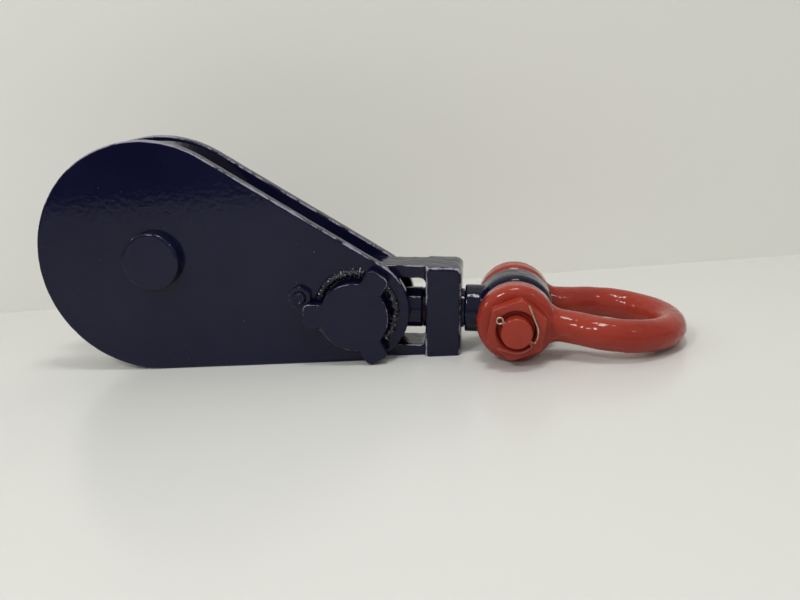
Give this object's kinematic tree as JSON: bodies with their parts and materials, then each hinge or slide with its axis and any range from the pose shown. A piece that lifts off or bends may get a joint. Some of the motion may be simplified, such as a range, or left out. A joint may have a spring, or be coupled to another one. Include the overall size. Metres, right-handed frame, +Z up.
{
  "type": "snatch block",
  "caption": "Swivel-shackle snatch block for wire rope: navy side plates round a grooved sheave, a three-lobed latch bolt, and a red bow shackle lying flat.",
  "frame": {"origin": "middle of the sheave, on the centre pin, halfway between the side plates", "axes": "+X along the straight lower edges towards the shackle, +Y along the centre pin from the front plate with the pin head to the rear plate that opens, +Z up"},
  "size_m": [0.5162, 0.1355, 0.1908],
  "materials": {
    "navy_enamel": "gloss",
    "red_enamel": "gloss",
    "sheave_grey": "satin",
    "bronze": "satin",
    "zinc_wire": "satin",
    "brass": "satin"
  },
  "bodies": {
    "root": {"front_side_plate": "navy_enamel", "guard_arcs": "navy_enamel", "stop_stud": "navy_enamel", "stop_nut": "navy_enamel", "centre_pin": "navy_enamel", "centre_pin_washer": "navy_enamel", "centre_pin_nut": "navy_enamel", "centre_pin_cotter": "zinc_wire", "grease_nipple": "brass", "thrust_washers": "bronze"},
    "sheave": {"sheave": "sheave_grey", "sheave_bushing": "bronze"},
    "rear_plate": {"rear_side_plate": "navy_enamel"},
    "latch": {"latch_bolt": "navy_enamel", "latch_washer": "navy_enamel", "latch_nut": "navy_enamel", "latch_cotter": "zinc_wire"},
    "yoke": {"yoke": "navy_enamel", "yoke_block": "navy_enamel", "swivel_thrust_washer": "bronze", "collar_washer": "navy_enamel"},
    "swivel": {"swivel_eye": "navy_enamel", "swivel_nut": "navy_enamel", "swivel_nut_pin": "zinc_wire"},
    "shackle": {"shackle_bow": "red_enamel", "shackle_pin": "red_enamel", "shackle_nut": "red_enamel", "shackle_cotter": "zinc_wire"}
  },
  "joints": [
    {"name": "sheave_spin", "type": "hinge", "parent": "root", "child": "sheave", "pos_m": [0, 0, 0], "axis": [0, 1, 0], "continuous": true},
    {"name": "plate_swing", "type": "hinge", "parent": "root", "child": "rear_plate", "pos_m": [0, 0.0215, 0], "axis": [0, -1, 0], "range_deg": [0, 150]},
    {"name": "latch_turn", "type": "hinge", "parent": "root", "child": "latch", "pos_m": [0.15906, 0, -0.05243], "axis": [0, -1, 0], "range_deg": [0, 60]},
    {"name": "yoke_pivot", "type": "hinge", "parent": "root", "child": "yoke", "pos_m": [0.15906, 0, -0.05243], "axis": [0, -1, 0], "range_deg": [-95.02, 68.98]},
    {"name": "swivel_spin", "type": "hinge", "parent": "yoke", "child": "swivel", "pos_m": [0.22886, 0, -0.05763], "axis": [0.9972, 0, -0.0744], "continuous": true},
    {"name": "shackle_swing", "type": "hinge", "parent": "swivel", "child": "shackle", "pos_m": [0.28471, 0, -0.0618], "axis": [0, -1, 0], "range_deg": [-101.03, 108.97]}
  ]
}
